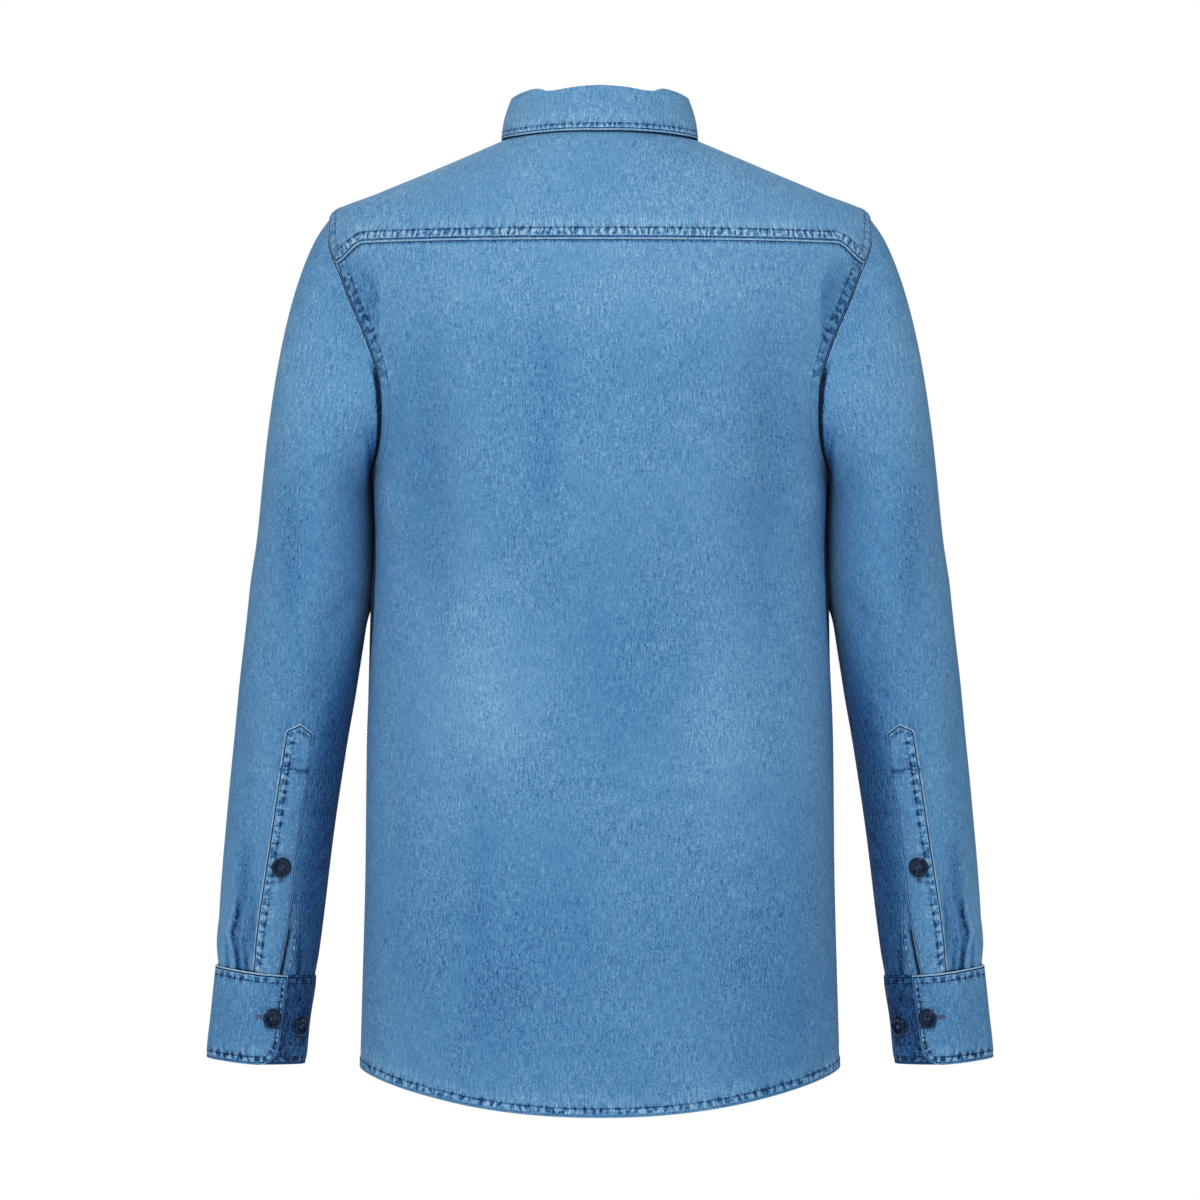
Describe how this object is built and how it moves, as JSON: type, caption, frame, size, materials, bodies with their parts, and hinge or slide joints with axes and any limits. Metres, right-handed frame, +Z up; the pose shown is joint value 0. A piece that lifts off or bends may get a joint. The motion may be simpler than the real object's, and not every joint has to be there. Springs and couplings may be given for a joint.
{
  "type": "denim shirt",
  "caption": "Long-sleeved washed denim shirt with a collar, back yoke, buttoned sleeve plackets and a curved hem, worn form and hollow.",
  "frame": {"origin": "base of the neck, midway between the two points where the shoulders meet the collar", "axes": "+Z up, +Y to the wearer's back, +X to the wearer's left arm"},
  "size_m": [0.6062, 0.262, 0.7766],
  "materials": {
    "denim": "washed twill, matt",
    "denim_shoulders": "washed twill, matt, palest",
    "denim_sleeves": "washed twill, matt",
    "denim_edges": "washed twill, worn at its edges",
    "button": "glossy dark navy"
  },
  "bodies": {
    "root": {"back": "denim", "front_left": "denim", "front_right": "denim", "yoke": "denim_shoulders", "collar_stand": "denim_shoulders", "collar_leaf": "denim_shoulders", "collar_button": "button", "sleeve_left": "denim_sleeves", "sleeve_placket_left": "denim_sleeves", "sleeve_binding_left": "denim_edges", "cuff_left": "denim_edges", "placket_button_left": "button", "cuff_button_1_left": "button", "cuff_button_2_left": "button", "sleeve_right": "denim_sleeves", "sleeve_placket_right": "denim_sleeves", "sleeve_binding_right": "denim_edges", "cuff_right": "denim_edges", "placket_button_right": "button", "cuff_button_1_right": "button", "cuff_button_2_right": "button", "front_button_1": "button", "front_button_2": "button", "front_button_3": "button", "front_button_4": "button", "front_button_5": "button", "front_button_6": "button"}
  },
  "joints": []
}
